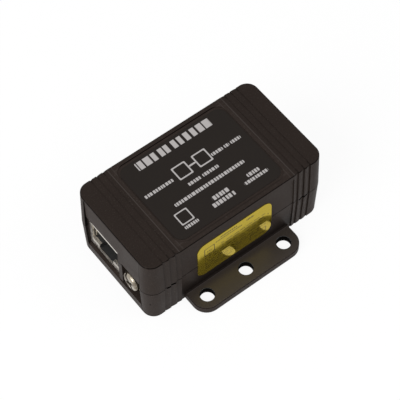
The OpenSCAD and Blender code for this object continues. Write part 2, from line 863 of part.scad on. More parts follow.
// Moulded diode that clamps the supply pairs, with a folded lead at each end
module supply_clamp() {
    lead_width = 2.1;
    lead_thickness = 0.25;
    shoulder = 1.1;
    tip = clamp_diode_length / 2 + clamp_diode_fold;
    color([0.13, 0.13, 0.14]) translate([clamp_diode_x, screw_y, board_top]) {
        rotate([90, 0, 0]) linear_extrude(clamp_diode_width, center = true) polygon([
            [-clamp_diode_length / 2 + 0.15, 0.25], [clamp_diode_length / 2 - 0.15, 0.25],
            [clamp_diode_length / 2, shoulder], [clamp_diode_length / 2 - 0.2, clamp_diode_height],
            [-clamp_diode_length / 2 + 0.2, clamp_diode_height], [-clamp_diode_length / 2, shoulder]
        ]);
        for (end = [0, 1])
            mirror([end, 0, 0])
                rotate([90, 0, 0]) linear_extrude(lead_width, center = true) polygon(strip([
                    [clamp_diode_length / 2 - 0.3, shoulder], [tip, shoulder],
                    [tip, lead_thickness / 2], [clamp_diode_length / 2 - 1.2, lead_thickness / 2]
                ], lead_thickness));
    }
}

module top_label() {
    color([0.1, 0.09, 0.08])
        translate([0, 0, pocket_floor])
            rounded_plate(top_label_length, top_label_width, label_thickness, label_corner);
}

// Label that bends with the side wall where it crosses the parting line
module side_label() {
    inner = side_panel_depth;
    outer = side_panel_depth - label_thickness;
    heights = [side_label_base, parting_height, side_label_top];
    color([0.78, 0.7, 0.2]) intersection() {
        rotate([90, 0, 90])
            linear_extrude(body_length, center = true) polygon([
                for (z = heights) [-half_width + lean_at(z) + inner, z],
                for (i = [2:-1:0]) [-half_width + lean_at(heights[i]) + outer, heights[i]]
            ]);
        translate([side_label_x, -half_width + wall, side_label_base + side_label_height / 2])
            rotate([90, 0, 0])
                rounded_plate(side_label_length, side_label_height, 2 * wall, label_corner);
    }
}

upper_housing();
lower_housing();
circuit_board();
at_jack(-1) jack_shield();  // jack_a_shield
at_jack(-1) jack_body();  // jack_a_body
at_jack(-1) jack_carrier();  // jack_a_carrier
at_jack(-1) jack_contacts();  // jack_a_contacts
at_jack(1) jack_shield();  // jack_b_shield
at_jack(1) jack_body();  // jack_b_body
at_jack(1) jack_carrier();  // jack_b_carrier
at_jack(1) jack_contacts();  // jack_b_contacts
earth_screw();
clamp_washer();
earth_bracket();
gas_tube(1);  // gas_tube_1
gas_tube(2);  // gas_tube_2
gas_tube(3);  // gas_tube_3
gas_tube(4);  // gas_tube_4
diode_array(1);  // diode_array_1
diode_array(2);  // diode_array_2
diode_array(3);  // diode_array_3
diode_array(4);  // diode_array_4
supply_clamp();
top_label();
side_label();
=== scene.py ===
"""Finishes, light and camera for an inline surge protector for a shielded network lead."""

import functools
import logging
import math
from dataclasses import dataclass
from enum import Enum

import bmesh
import bpy
from mathutils import Matrix, Vector


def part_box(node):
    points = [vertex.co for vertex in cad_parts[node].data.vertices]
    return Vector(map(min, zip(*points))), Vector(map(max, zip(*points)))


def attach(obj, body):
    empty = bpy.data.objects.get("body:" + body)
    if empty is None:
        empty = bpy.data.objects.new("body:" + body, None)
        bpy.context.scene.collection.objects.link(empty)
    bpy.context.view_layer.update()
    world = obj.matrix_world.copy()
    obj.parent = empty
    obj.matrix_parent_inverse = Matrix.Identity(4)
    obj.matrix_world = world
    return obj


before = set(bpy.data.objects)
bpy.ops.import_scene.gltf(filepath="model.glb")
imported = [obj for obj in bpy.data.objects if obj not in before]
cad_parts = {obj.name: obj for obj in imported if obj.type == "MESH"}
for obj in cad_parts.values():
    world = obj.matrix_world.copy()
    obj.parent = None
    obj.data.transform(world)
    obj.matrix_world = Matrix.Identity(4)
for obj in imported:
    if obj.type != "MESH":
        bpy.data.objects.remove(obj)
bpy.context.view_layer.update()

logging.basicConfig(level=logging.INFO, format="%(message)s")
log = logging.getLogger("surge_protector")

Colour = tuple[float, float, float]
Point = tuple[float, float, float]
Limits = tuple[float, float]
Socket = bpy.types.NodeSocket
Sockets = bpy.types.bpy_prop_collection

MM = 0.001
WHITE = (1.0, 1.0, 1.0)


def mm(*values: float) -> Point:
    """Lengths in millimetres as metres."""
    return tuple(value * MM for value in values)


def opaque(colour: object) -> object:
    """A plain colour with its fourth number, or the socket that it came as."""
    return (*colour, 1.0) if isinstance(colour, tuple) else colour


def scaled(colour: Colour, share: float) -> Colour:
    """A colour made darker or paler by a share."""
    return tuple(part * share for part in colour)


def source(shader: bpy.types.Node, name: str) -> Socket:
    """What feeds one input of a shader."""
    return shader.inputs[name].links[0].from_socket


def add_object(name: str, data: bpy.types.ID) -> bpy.types.Object:
    """Adds an object to the scene.

    Args:
        name: the object's name.
        data: its mesh, lamp or camera.

    Returns:
        The new object, at the origin.
    """
    made = bpy.data.objects.new(name, data)
    bpy.context.scene.collection.objects.link(made)
    return made


def add_shape(name: str, shape: bmesh.types.BMesh) -> bpy.types.Object:
    """Adds a shape to the scene as an object, and frees the shape.

    Args:
        name: the name of the object and of its mesh.
        shape: the shape.

    Returns:
        The new object.
    """
    mesh = bpy.data.meshes.new(name)
    shape.to_mesh(mesh)
    shape.free()
    return add_object(name, mesh)


class Facing(Enum):
    """The plane that a print lies in, as the two axes that it is drawn along."""

    TOP = (0, 1)
    SIDE = (0, 2)


@dataclass(frozen=True)
class Line:
    """A thin line on a moulding: where it runs and half its width, in metres, and its strength."""

    at: float
    half: float
    strength: float = 1.0


class Graph:
    """A node tree, with short calls that add nodes and join them.

    What feeds an input is another node's socket, or a plain number, vector or colour.
    """

    def __init__(self, tree: bpy.types.NodeTree) -> None:
        """Keeps the tree that the calls add to."""
        self.tree = tree

    def feed(self, socket: Socket, value: object) -> None:
        """Joins a socket to another one, or sets it to a plain value.

        Args:
            socket: the input.
            value: what feeds it.
        """
        if isinstance(value, Socket):
            self.tree.links.new(value, socket)
        else:
            socket.default_value = value

    def node(self, kind: str, *values: object, **settings: object) -> bpy.types.Node:
        """Adds a node.

        Args:
            kind: Blender's name for the type of node.
            values: what feeds the node's first inputs, in order.
            settings: properties of the node, by name.

        Returns:
            The new node.
        """
        made = self.tree.nodes.new(kind)
        for name, value in settings.items():
            setattr(made, name, value)
        for socket, value in zip(made.inputs, values):
            self.feed(socket, value)
        return made

    def wire(self, node: bpy.types.Node, **inputs: object) -> bpy.types.Node:
        """Feeds a node's inputs by name.

        Args:
            node: the node to feed.
            inputs: what feeds each input, whose name has _ for a space.

        Returns:
            The same node.
        """
        for name, value in inputs.items():
            self.feed(node.inputs[name.replace("_", " ")], value)
        return node

    def math(self, operation: str, *values: object) -> Socket:
        """The value of a Math node."""
        return self.node("ShaderNodeMath", *values, operation=operation).outputs[0]

    def vector(self, operation: str, *values: object) -> Socket:
        """The vector of a Vector Math node."""
        return self.node("ShaderNodeVectorMath", *values, operation=operation).outputs[0]

    def distance(self, *values: object) -> Socket:
        """The distance between two places."""
        made = self.node("ShaderNodeVectorMath", *values, operation="DISTANCE")
        return made.outputs["Value"]

    def hypotenuse(self, *sides: Socket) -> Socket:
        """The distance that two distances at a right angle give."""
        squares = [self.math("MULTIPLY", side, side) for side in sides]
        return self.math("SQRT", self.math("ADD", *squares))

    def split(self, vector: Socket) -> list[Socket]:
        """The three parts of a vector."""
        return list(self.node("ShaderNodeSeparateXYZ", vector).outputs)

    def noise(self, position: object, scale: object, detail: float = 2.0) -> Socket:
        """Noise from 0 to 1 at a position."""
        made = self.node("ShaderNodeTexNoise")
        return self.wire(made, Vector=position, Scale=scale, Detail=detail).outputs[0]

    def ramp(
        self, value: object, start: object, end: object, low: float = 0.0, high: float = 1.0
    ) -> Socket:
        """A value taken smoothly from low to high between a start and an end."""
        values = (value, start, end, low, high)
        return self.node("ShaderNodeMapRange", *values, interpolation_type="SMOOTHSTEP").outputs[0]

    def blend(self, share: object, first: object, second: object) -> Socket:
        """A colour between two colours.

        Args:
            share: how much of the second colour there is, from 0 to 1.
            first: the first colour.
            second: the second colour.

        Returns:
            The colour between them.
        """
        made = self.node("ShaderNodeMix", share, data_type="RGBA")
        self.feed(made.inputs[6], opaque(first))
        self.feed(made.inputs[7], opaque(second))
        return made.outputs[2]

    def place(self) -> Socket:
        """The place on the piece, in the part's own frame, in metres."""
        return self.node("ShaderNodeTexCoord").outputs["Object"]

    def normal(self) -> Socket:
        """The way that the piece's surface faces."""
        return self.node("ShaderNodeNewGeometry").outputs["Normal"]

    def bump(self, height: Socket, depth: float) -> Socket:
        """A normal bent by a height, whose full range is a depth in metres."""
        made = self.node("ShaderNodeBump")
        return self.wire(made, Strength=1.0, Distance=depth, Height=height).outputs[0]

    def band(self, value: object, low: float, high: float, soft: float = 0.04 * MM) -> Socket:
        """1 where a value lies between two limits, with soft ends inside them."""
        return self.use(Band, Value=value, Low=low, High=high, Soft=soft)["Mask"]

    def under(self, value: object, limit: float) -> Socket:
        """1 where a value that starts at 0 is under a limit in metres."""
        return self.band(value, -MM, limit)

    def line(self, value: object, line: Line) -> Socket:
        """The strength of a line where a value lies on it."""
        mask = self.band(value, line.at - line.half, line.at + line.half, line.half / 2)
        return self.math("MULTIPLY", mask, line.strength)

    def all(self, *masks: object) -> Socket:
        """Where all the masks are."""
        return functools.reduce(lambda one, other: self.math("MULTIPLY", one, other), masks)

    def any(self, *masks: object) -> Socket:
        """Where any of the masks is."""
        return functools.reduce(lambda one, other: self.math("MAXIMUM", one, other), masks)

    def use(self, effect: "type[Effect]", **inputs: object) -> Sockets:
        """What a shared effect gives here, with inputs of its own."""
        made = self.node("ShaderNodeGroup", node_tree=effect.group())
        return self.wire(made, **inputs).outputs


class Effect:
    """A shader node group that several finishes share, built once.

    A kind of effect gives the group's name, and the type of each input and output.
    """

    made: dict[str, bpy.types.NodeTree] = {}
    name = "effect"
    inputs: dict[str, str] = {}
    outputs: dict[str, str] = {}

    @classmethod
    def group(cls) -> bpy.types.NodeTree:
        """The node group, made at its first use.

        Returns:
            The group's tree.
        """
        if cls.name not in Effect.made:
            tree = bpy.data.node_groups.new(cls.name, "ShaderNodeTree")
            for in_out, sockets in (("INPUT", cls.inputs), ("OUTPUT", cls.outputs)):
                for title, kind in sockets.items():
                    socket_type = f"NodeSocket{kind}"
                    tree.interface.new_socket(title, in_out=in_out, socket_type=socket_type)
            graph = Graph(tree)
            results = cls.build(graph, graph.node("NodeGroupInput").outputs)
            graph.node("NodeGroupOutput", *(results[title] for title in cls.outputs))
            Effect.made[cls.name] = tree
        return Effect.made[cls.name]

    @classmethod
    def build(cls, graph: Graph, given: Sockets) -> dict[str, Socket]:
        """Builds the effect's nodes.

        Args:
            graph: the group's tree.
            given: its inputs, by name.

        Returns:
            The value of each output, by name.
        """
        raise NotImplementedError


class MouldGrain(Effect):
    """The fine spark-eroded grain of a moulding, with pale flecks and slow clouds."""

    name = "mould_grain"
    inputs = {"Position": "Vector", "Scale": "Float"}
    outputs = {"Height": "Float", "Flecks": "Float", "Cloud": "Float"}
    fine_detail = 3.0
    fleck_scale = 0.8
    fleck_limits = (0.54, 0.76)
    cloud_scale = 0.03

    @classmethod
    def build(cls, graph: Graph, given: Sockets) -> dict[str, Socket]:
        """Grain at the scale given, flecks a little coarser, clouds far larger.

        Args:
            graph: the group's tree.
            given: its inputs, by name.

        Returns:
            The grain's height, the flecks and the clouds.
        """
        place, scale = given["Position"], given["Scale"]
        flecks = graph.noise(place, graph.math("MULTIPLY", scale, cls.fleck_scale))
        return {
            "Height": graph.noise(place, scale, cls.fine_detail),
            "Flecks": graph.ramp(flecks, *cls.fleck_limits),
            "Cloud": graph.noise(place, graph.math("MULTIPLY", scale, cls.cloud_scale)),
        }


class DrawnGrain(Effect):
    """The faint lines that rolling and drawing leave along a sheet or a wire."""

    name = "drawn_grain"
    inputs = {"Position": "Vector", "Stretch": "Vector"}
    outputs = {"Height": "Float", "Shade": "Float"}
    line_detail = 3.0
    tarnish_scale = 420.0

    @classmethod
    def build(cls, graph: Graph, given: Sockets) -> dict[str, Socket]:
        """Noise drawn out along one axis, and a slow tarnish.

        Args:
            graph: the group's tree.
            given: its inputs, by name.

        Returns:
            The height of the lines and the tarnish.
        """
        drawn = graph.vector("MULTIPLY", given["Position"], given["Stretch"])
        return {
            "Height": graph.noise(drawn, 1.0, cls.line_detail),
            "Shade": graph.noise(given["Position"], cls.tarnish_scale),
        }


class Band(Effect):
    """The stretch of a value between two limits, with soft ends."""

    name = "band"
    inputs = {"Value": "Float", "Low": "Float", "High": "Float", "Soft": "Float"}
    outputs = {"Mask": "Float"}

    @classmethod
    def build(cls, graph: Graph, given: Sockets) -> dict[str, Socket]:
        """A rise that starts at the low limit, times a fall that ends at the high one.

        Args:
            graph: the group's tree.
            given: its inputs, by name.

        Returns:
            The mask.
        """
        value, low, high, soft = (given[title] for title in cls.inputs)
        rise = graph.ramp(value, low, graph.math("ADD", low, soft))
        fall = graph.ramp(value, graph.math("SUBTRACT", high, soft), high, 1.0, 0.0)
        return {"Mask": graph.all(rise, fall)}


class PrintedBar(Effect):
    """A printed bar with round ends, cut into blocks, on the first two parts of the position."""

    name = "printed_bar"
    inputs = {
        "Position": "Vector", "Middle": "Vector", "Half Size": "Vector",
        "Round": "Float", "Pitch": "Float",
    }
    outputs = {"Mask": "Float"}
    edge = 0.03 * MM
    uneven_scale = 900.0
    uneven_share = 0.8
    block = (0.02, 0.8)
    block_soft = 0.06
    whole_pitch = 0.5

    @classmethod
    def build(cls, graph: Graph, given: Sockets) -> dict[str, Socket]:
        """A box with round corners and soft edges, less the gaps between its blocks.

        Args:
            graph: the group's tree.
            given: its inputs, by name.

        Returns:
            The mask.
        """
        place, middle = given["Position"], given["Middle"]
        offset = graph.vector("SUBTRACT", place, middle)
        past = graph.vector("SUBTRACT", graph.vector("ABSOLUTE", offset), given["Half Size"])
        beyond = [
            graph.math("MAXIMUM", graph.math("ADD", part, given["Round"]), 0.0)
            for part in graph.split(past)[:2]
        ]
        outside = graph.math("SUBTRACT", graph.hypotenuse(*beyond), given["Round"])
        bar = graph.ramp(outside, -cls.edge, cls.edge, 1.0, 0.0)
        along = graph.vector("MULTIPLY", place, (1.0, 0.0, 0.0))
        row = graph.vector("ADD", along, graph.vector("MULTIPLY", middle, (0.0, 1.0, 0.0)))
        uneven = graph.all(graph.noise(row, cls.uneven_scale, 0.0), cls.uneven_share)
        steps = graph.math("DIVIDE", graph.split(offset)[0], given["Pitch"])
        share = graph.math("FRACT", graph.math("ADD", steps, uneven))
        block = graph.band(share, *cls.block, cls.block_soft)
        whole = graph.math("GREATER_THAN", given["Pitch"], cls.whole_pitch)
        return {"Mask": graph.all(bar, graph.any(block, whole))}


class Finish:
    """What every finish can do: make its material once, and put it on a piece."""

    cloud_limits = (0.3, 0.7)
    gloss_spread = (0.04, 0.05)

    def material(self) -> bpy.types.Material:
        """The material, made at its first use.

        Returns:
            The material that has this finish's name.
        """
        found = bpy.data.materials.get(self.name)
        if found is None:
            found = bpy.data.materials.new(self.name)
            found.use_nodes = True
            self.dress(Graph(found.node_tree), found.node_tree.nodes["Principled BSDF"])
        return found

    def dress(self, graph: Graph, shader: bpy.types.Node) -> None:
        """Feeds the shader's inputs.

        Args:
            graph: the material's tree.
            shader: its shader node.
        """
        raise NotImplementedError

    def gloss(self, graph: Graph, cloud: Socket) -> Socket:
        """The roughness, a little less or more with a cloud."""
        limits = (self.roughness - self.gloss_spread[0], self.roughness + self.gloss_spread[1])
        return graph.ramp(cloud, *self.cloud_limits, *limits)

    def put_on(self, piece: bpy.types.Object) -> None:
        """Gives a piece this finish in place of the one that it has."""
        piece.data.materials.clear()
        piece.data.materials.append(self.material())


@dataclass(frozen=True)
class MouldedPlastic(Finish):
    """A matt or satin moulding with fine grain, whose depth is in millimetres."""

    name: str
    colour: Colour
    fleck: Colour
    roughness: float
    grain: float = 4200.0
    depth: float = 0.012
    ior: float = 1.46
    cloud_share: float = 0.8

    def dress(self, graph: Graph, shader: bpy.types.Node) -> None:
        """Grain in the normal, flecks and clouds in the colour and the gloss.

        Args:
            graph: the material's tree.
            shader: its shader node.
        """
        grain = graph.use(MouldGrain, Position=graph.place(), Scale=self.grain)
        base = graph.blend(grain["Cloud"], scaled(self.colour, self.cloud_share), self.colour)
        graph.wire(
            shader,
            Base_Color=graph.blend(grain["Flecks"], base, self.fleck),
            Roughness=self.gloss(graph, grain["Cloud"]),
            Normal=graph.bump(grain["Height"], self.depth * MM),
            IOR=self.ior,
        )


class Spot:
    """A place on the box: its three parts, and how far out and aside of the middle it is."""

    def __init__(self, graph: Graph) -> None:
        """Reads the place on the piece.

        Args:
            graph: the material's tree.
        """
        self.place = graph.place()
        self.x, self.y, self.z = graph.split(self.place)
        self.out = graph.math("ABSOLUTE", self.x)
        self.aside = graph.math("ABSOLUTE", self.y)


@dataclass(frozen=True)
class ShellPlastic(MouldedPlastic):
    """The box's plastic, with painted shade in its joints and painted highlights on its edges.

    Lengths are in metres, in the part's own frame. Lines run along the joint of the halves, the
    rim of the top, the ribs, the top label's pocket, the panels of the ends and the flange.
    """

    tint: Colour = (1.0, 0.84, 0.76)
    # Colour of the painted shade in the joint, on the rim, along the end panels, in the slots, on
    # the hole walls, on the low long wall and on the ribbed ends; also of the gate's mark.
    shade: Colour = (0.002, 0.0016, 0.0014)
    glint: Colour = (0.062, 0.052, 0.047)
    # A warmer, lighter colour on the flange: the plastic's tone with a painted reflection of the
    # yellow side label; the coat on it is real.
    flange_colour_and_reflection: Colour = (0.037, 0.029, 0.023)
    coat_roughness: float = 0.34
    coat_ior: float = 1.46
    seam: Line = Line(12.3 * MM, 0.17 * MM)
    rim: Line = Line(24.72 * MM, 0.2 * MM)
    rim_shares: Limits = (0.92, 0.85)
    top_soft: float = 0.12 * MM
    end: Limits = (27.375 * MM, 27.975 * MM)
    side: Limits = (13.8 * MM, 14.2 * MM)
    panel_side: Line = Line(11.7 * MM, 0.15 * MM)
    panel_top: Line = Line(24.2 * MM, 0.15 * MM)
    panel_corner: float = 0.1 * MM
    rib_edge: Line = Line(18.3 * MM, 0.2 * MM, 0.75)
    rib_soft: float = 0.3 * MM
    rib_share: float = 0.22
    pocket_end: Line = Line(17.1 * MM, 0.16 * MM, 0.5)
    pocket_side: Line = Line(13.65 * MM, 0.14 * MM, 0.4)
    slot: Limits = (20.05 * MM, 22.95 * MM)
    slot_height: float = 0.66 * MM
    gate: Point = mm(-27.45, -14.52, 6.83)
    gate_reach: Limits = (0.16 * MM, 0.3 * MM)
    flange: Limits = (2.15 * MM, 4.4 * MM)
    flange_back: Limits = (-16.0 * MM, -15.9 * MM)
    bead: Line = Line(-15.75 * MM, 0.16 * MM)
    wall_face: Limits = (-15.75 * MM, -15.65 * MM)
    wall_back: Limits = (-12.0 * MM, -11.0 * MM)
    wall: Limits = (2.15 * MM, 11.0 * MM)
    wall_share: float = 0.7
    hole_y: float = -19.065 * MM
    hole_pitch: float = 12.7 * MM
    hole_wall: Limits = (2.06 * MM, 2.11 * MM)

    def dress(self, graph: Graph, shader: bpy.types.Node) -> None:
        """The plain moulding, with painted shade in its joints and painted highlights along its
        edges.

        Args:
            graph: the material's tree.
            shader: its shader node.
        """
        super().dress(graph, shader)
        spot = Spot(graph)
        flange = graph.all(
            graph.ramp(spot.y, *self.flange_back, 1.0, 0.0), graph.band(spot.z, *self.flange)
        )
        # Painted shade in the joint, on the rim, along the panel outlines, in the slots and on the
        # hole walls, with the gate's mark.
        dark = self.joints(graph, spot)
        # The flange's colour, which holds a painted reflection of the yellow side label.
        base = graph.blend(flange, source(shader, "Base Color"), self.flange_colour_and_reflection)
        base = graph.blend(self.wall_shade(graph, spot), base, self.shade)
        base = graph.blend(self.rib_shade(graph, spot), base, self.shade)
        # Painted highlights along the ribs, the label's pocket and the flange's bead.
        base = graph.blend(self.edges(graph, spot), base, self.glint)
        graph.wire(
            shader,
            Base_Color=graph.blend(dark, base, self.shade),
            Roughness=graph.any(source(shader, "Roughness"), dark),
            Coat_Weight=flange,
            Coat_Roughness=self.coat_roughness,
            Coat_IOR=self.coat_ior,
            Specular_Tint=opaque(self.tint),
        )

    def joints(self, graph: Graph, spot: Spot) -> Socket:
        """Painted shade in the joint, on the rim, along the panels' outlines, in the slots and on
        the holes' walls, and the gate's mark.

        Args:
            graph: the material's tree.
            spot: the place on the box.

        Returns:
            A mask of where the box is dark.
        """
        end = graph.ramp(spot.out, *self.end)
        panel = graph.all(end, graph.under(spot.aside, self.panel_side.at))
        outside = graph.any(end, graph.ramp(spot.aside, *self.side))
        rim_share = graph.ramp(panel, 0.0, 1.0, *self.rim_shares)
        # Each line below is painted shade, except the gate's mark: the joint's gap, a painted dark
        # line on the rounded rim, the panels' outlines, the slots and the hole walls.
        return graph.any(
            graph.line(spot.z, self.seam),
            graph.all(graph.line(spot.z, self.rim), outside, rim_share),
            graph.all(end, self.panel_shadow_lines(graph, spot)),
            self.pry_slot_shade(graph, spot),
            self.gate_mark(graph, spot),
            self.hole_wall_shade(graph, spot),
        )

    def panel_shadow_lines(self, graph: Graph, spot: Spot) -> Socket:
        """Painted shadow along the outline of the flat panel on each end wall.

        Args:
            graph: the material's tree.
            spot: the place on the box.

        Returns:
            A mask of the outline, seen from the end.
        """
        side, top = self.panel_side, self.panel_top
        across = graph.under(spot.aside, side.at + self.panel_corner)
        upright = graph.under(spot.z, top.at + self.panel_corner)
        return graph.any(
            graph.all(graph.line(spot.z, top), across),
            graph.all(graph.line(spot.aside, side), upright),
        )

    def pry_slot_shade(self, graph: Graph, spot: Spot) -> Socket:
        """Painted shade in the slots under the joint, where a blade opens the box."""
        height = graph.band(spot.z, self.seam.at - self.slot_height, self.seam.at)
        return graph.all(height, graph.band(spot.out, *self.slot))

    def gate_mark(self, graph: Graph, spot: Spot) -> Socket:
        """The small dot where the moulding's gate broke off."""
        return graph.ramp(graph.distance(spot.place, self.gate), *self.gate_reach, 1.0, 0.0)

    def hole_wall_shade(self, graph: Graph, spot: Spot) -> Socket:
        """Painted shade on the walls of the three holes in the flange.

        Args:
            graph: the material's tree.
            spot: the place on the box.

        Returns:
            A mask of the walls.
        """
        shifted = graph.math("ADD", spot.x, self.hole_pitch / 2)
        nearest = graph.math("SNAP", shifted, self.hole_pitch)
        along = graph.math("SUBTRACT", spot.x, nearest)
        away = graph.hypotenuse(along, graph.math("SUBTRACT", spot.y, self.hole_y))
        return graph.ramp(away, *self.hole_wall, 1.0, 0.0)

    def top(self, graph: Graph, spot: Spot) -> Socket:
        """The top of the box, over its rim."""
        return graph.ramp(spot.z, self.rim.at, self.rim.at + self.top_soft)

    def edges(self, graph: Graph, spot: Spot) -> Socket:
        """Painted highlights along the edges of the ribs, of the label's pocket and of the flange.

        Args:
            graph: the material's tree.
            spot: the place on the box.

        Returns:
            A mask of where the box catches the light.
        """
        beside = graph.under(spot.out, self.pocket_end.at)
        lines = graph.any(
            graph.line(spot.out, self.rib_edge),
            graph.line(spot.out, self.pocket_end),
            graph.all(graph.line(spot.aside, self.pocket_side), beside),
        )
        bead = graph.all(graph.line(spot.y, self.bead), graph.band(spot.z, *self.flange))
        return graph.any(graph.all(self.top(graph, spot), lines), bead)

    def wall_shade(self, graph: Graph, spot: Spot) -> Socket:
        """The long wall over the flange, which is darker the lower it is.

        Args:
            graph: the material's tree.
            spot: the place on the box.

        Returns:
            How dark the wall is.
        """
        return graph.all(
            graph.ramp(spot.y, *self.wall_face),
            graph.ramp(spot.y, *self.wall_back, 1.0, 0.0),
            graph.ramp(spot.z, *self.wall, self.wall_share, 0.0),
            graph.band(spot.z, *self.wall),
            graph.under(spot.out, self.rib_edge.at),
        )

    def rib_shade(self, graph: Graph, spot: Spot) -> Socket:
        """The ribbed ends of the top, which are a little darker."""
        ribs = graph.ramp(spot.out, self.rib_edge.at, self.rib_edge.at + self.rib_soft)
        return graph.all(self.top(graph, spot), ribs, self.rib_share)


@dataclass(frozen=True)
class PlatedMetal(Finish):
    """Plated sheet, wire or turned metal."""

    name: str
    colour: Colour
    tarnish: Colour
    roughness: float
    stretch: Point = (900.0, 14000.0, 14000.0)
    depth: float = 0.004 * MM
    cloud_limits = (0.25, 0.75)
    gloss_spread = (0.05, 0.09)

    def dress(self, graph: Graph, shader: bpy.types.Node) -> None:
        """Drawn lines in the normal, and tarnish in the colour and the gloss.

        Args:
            graph: the material's tree.
            shader: its shader node.
        """
        grain = graph.use(DrawnGrain, Position=graph.place(), Stretch=self.stretch)
        graph.wire(
            shader,
            Base_Color=graph.blend(grain["Shade"], self.colour, self.tarnish),
            Roughness=self.gloss(graph, grain["Shade"]),
            Normal=graph.bump(grain["Height"], self.depth),
            Metallic=1.0,
        )


@dataclass(frozen=True)
class ScrewMetal(PlatedMetal):
    """The plating of the screw, with painted dark reflections in patches, and painted shade in the
    slots of its head.

    Lengths are in metres: along the screw from its head's face, and away from its axis.
    """

    axis: Point = mm(-28.475, -6.85, 8.5)
    slot_depth: Limits = (0.22 * MM, 0.5 * MM)
    slot_reach: Limits = (2.3 * MM, 2.5 * MM)
    # Colour of the painted shade in the head's slots.
    slot_shade: Colour = (0.02, 0.017, 0.013)
    patch_scale: float = 700.0
    patch_detail: float = 3.0
    patch_limits: Limits = (0.42, 0.62)
    patch_share: float = 0.75
    dulled: float = 0.2

    def dress(self, graph: Graph, shader: bpy.types.Node) -> None:
        """The plain plating, with painted dark reflections in patches at the scale of the head, and
        painted shade in its recess.

        Args:
            graph: the material's tree.
            shader: its shader node.
        """
        super().dress(graph, shader)
        away = graph.vector("SUBTRACT", graph.place(), self.axis)
        deep, *across = graph.split(away)
        radius = graph.hypotenuse(*across)
        # Painted shade in the slots of the head.
        recess = graph.all(
            graph.ramp(deep, *self.slot_depth), graph.ramp(radius, *self.slot_reach, 1.0, 0.0)
        )
        # Painted dark reflections: patches of the tarnish's colour at the scale of the head, which
        # also dull it.
        mottle = graph.noise(away, self.patch_scale, self.patch_detail)
        dark_reflection_patches = graph.ramp(mottle, *self.patch_limits)
        share = graph.all(dark_reflection_patches, self.patch_share)
        base = graph.blend(share, source(shader, "Base Color"), self.tarnish)
        dull = graph.all(graph.any(recess, dark_reflection_patches), self.dulled)
        graph.wire(
            shader,
            Base_Color=graph.blend(recess, base, self.slot_shade),
            Roughness=graph.math("ADD", source(shader, "Roughness"), dull),
        )


@dataclass(frozen=True)
class Mark:
    """A printed bar: its middle, its length and its height, in millimetres on the label.

    A hollow bar is an outline of that width, and a bar with a pitch is a row of blocks.
    """

    x: float
    y: float
    length: float
    height: float
    hollow: float = 0.0
    pitch: float = 1000.0


@dataclass(frozen=True)
class PrintedFilm(Finish):
    """A printed label under a clear film."""

    name: str
    colour: Colour
    ink: Colour
    roughness: float
    marks: tuple[Mark, ...]
    facing: Facing
    strength: float = 1.0
    metallic: float = 0.0
    ior: float = 1.46
    tint: Colour = WHITE
    ripple: float = 0.006 * MM
    grain: float = 3200.0
    cloud_share: float = 0.88
    corner: float = 0.3
    gloss_spread = (0.03, 0.04)

    def bar(self, graph: Graph, flat: Socket, mark: Mark, inset: float = 0.0) -> Socket:
        """The mask of one bar.

        Args:
            graph: the material's tree.
            flat: the place on the label, along it and up it.
            mark: the bar.
            inset: how far it is drawn in, in millimetres.

        Returns:
            A value that is 1 on the bar.
        """
        half = (mark.length / 2 - inset, mark.height / 2 - inset)
        return graph.use(
            PrintedBar,
            Position=flat,
            Middle=mm(mark.x, mark.y, 0.0),
            Half_Size=mm(*half, 0.0),
            Round=min(*half, self.corner) * MM,
            Pitch=mark.pitch * MM,
        )["Mask"]

    def shape(self, graph: Graph, flat: Socket, mark: Mark) -> Socket:
        """The mask of one mark, less the inside of a hollow one.

        Args:
            graph: the material's tree.
            flat: the place on the label, along it and up it.
            mark: the mark.

        Returns:
            A value that is 1 on the mark.
        """
        whole = self.bar(graph, flat, mark)
        if not mark.hollow:
            return whole
        return graph.math("SUBTRACT", whole, self.bar(graph, flat, mark, mark.hollow))

    def dress(self, graph: Graph, shader: bpy.types.Node) -> None:
        """Ink over the film's colour, with the slow ripple of a stuck label.

        Args:
            graph: the material's tree.
            shader: its shader node.
        """
        place = graph.place()
        parts = graph.split(place)
        flat = graph.node("ShaderNodeCombineXYZ", *(parts[axis] for axis in self.facing.value))
        shapes = [self.shape(graph, flat.outputs[0], mark) for mark in self.marks]
        ink = graph.all(graph.any(*shapes), self.strength)
        grain = graph.use(MouldGrain, Position=place, Scale=self.grain)
        ground = graph.blend(grain["Cloud"], scaled(self.colour, self.cloud_share), self.colour)
        graph.wire(
            shader,
            Base_Color=graph.blend(ink, ground, self.ink),
            Roughness=self.gloss(graph, grain["Cloud"]),
            Normal=graph.bump(grain["Cloud"], self.ripple),
            Metallic=self.metallic,
            IOR=self.ior,
            Specular_Tint=opaque(self.tint),
        )


@dataclass(frozen=True)
class BoardFinish(Finish):
    """Solder mask on both faces of a glass laminate, with tracks under it."""

    name: str
    mask: Colour
    track: Colour
    laminate: Colour
    track_shift: float = 0.35
    track_scale: float = 160.0
    track_width: float = 0.055
    track_height: float = 0.03 * MM
    flat_limits: Limits = (0.4, 0.6)
    gloss_limits: Limits = (0.8, 0.32)

    def dress(self, graph: Graph, shader: bpy.types.Node) -> None:
        """Tracks show through the mask, and the cut edges show the laminate.

        Args:
            graph: the material's tree.
            shader: its shader node.
        """
        tracks = graph.wire(
            graph.node("ShaderNodeTexBrick", offset=self.track_shift),
            Vector=graph.place(),
            Scale=self.track_scale,
            Mortar_Size=self.track_width,
        ).outputs["Fac"]
        face = graph.blend(tracks, self.mask, self.track)
        upright = graph.math("ABSOLUTE", graph.split(graph.normal())[2])
        flat = graph.ramp(upright, *self.flat_limits)
        graph.wire(
            shader,
            Base_Color=graph.blend(flat, self.laminate, face),
            Roughness=graph.ramp(upright, *self.flat_limits, *self.gloss_limits),
            Normal=graph.bump(tracks, self.track_height),
        )


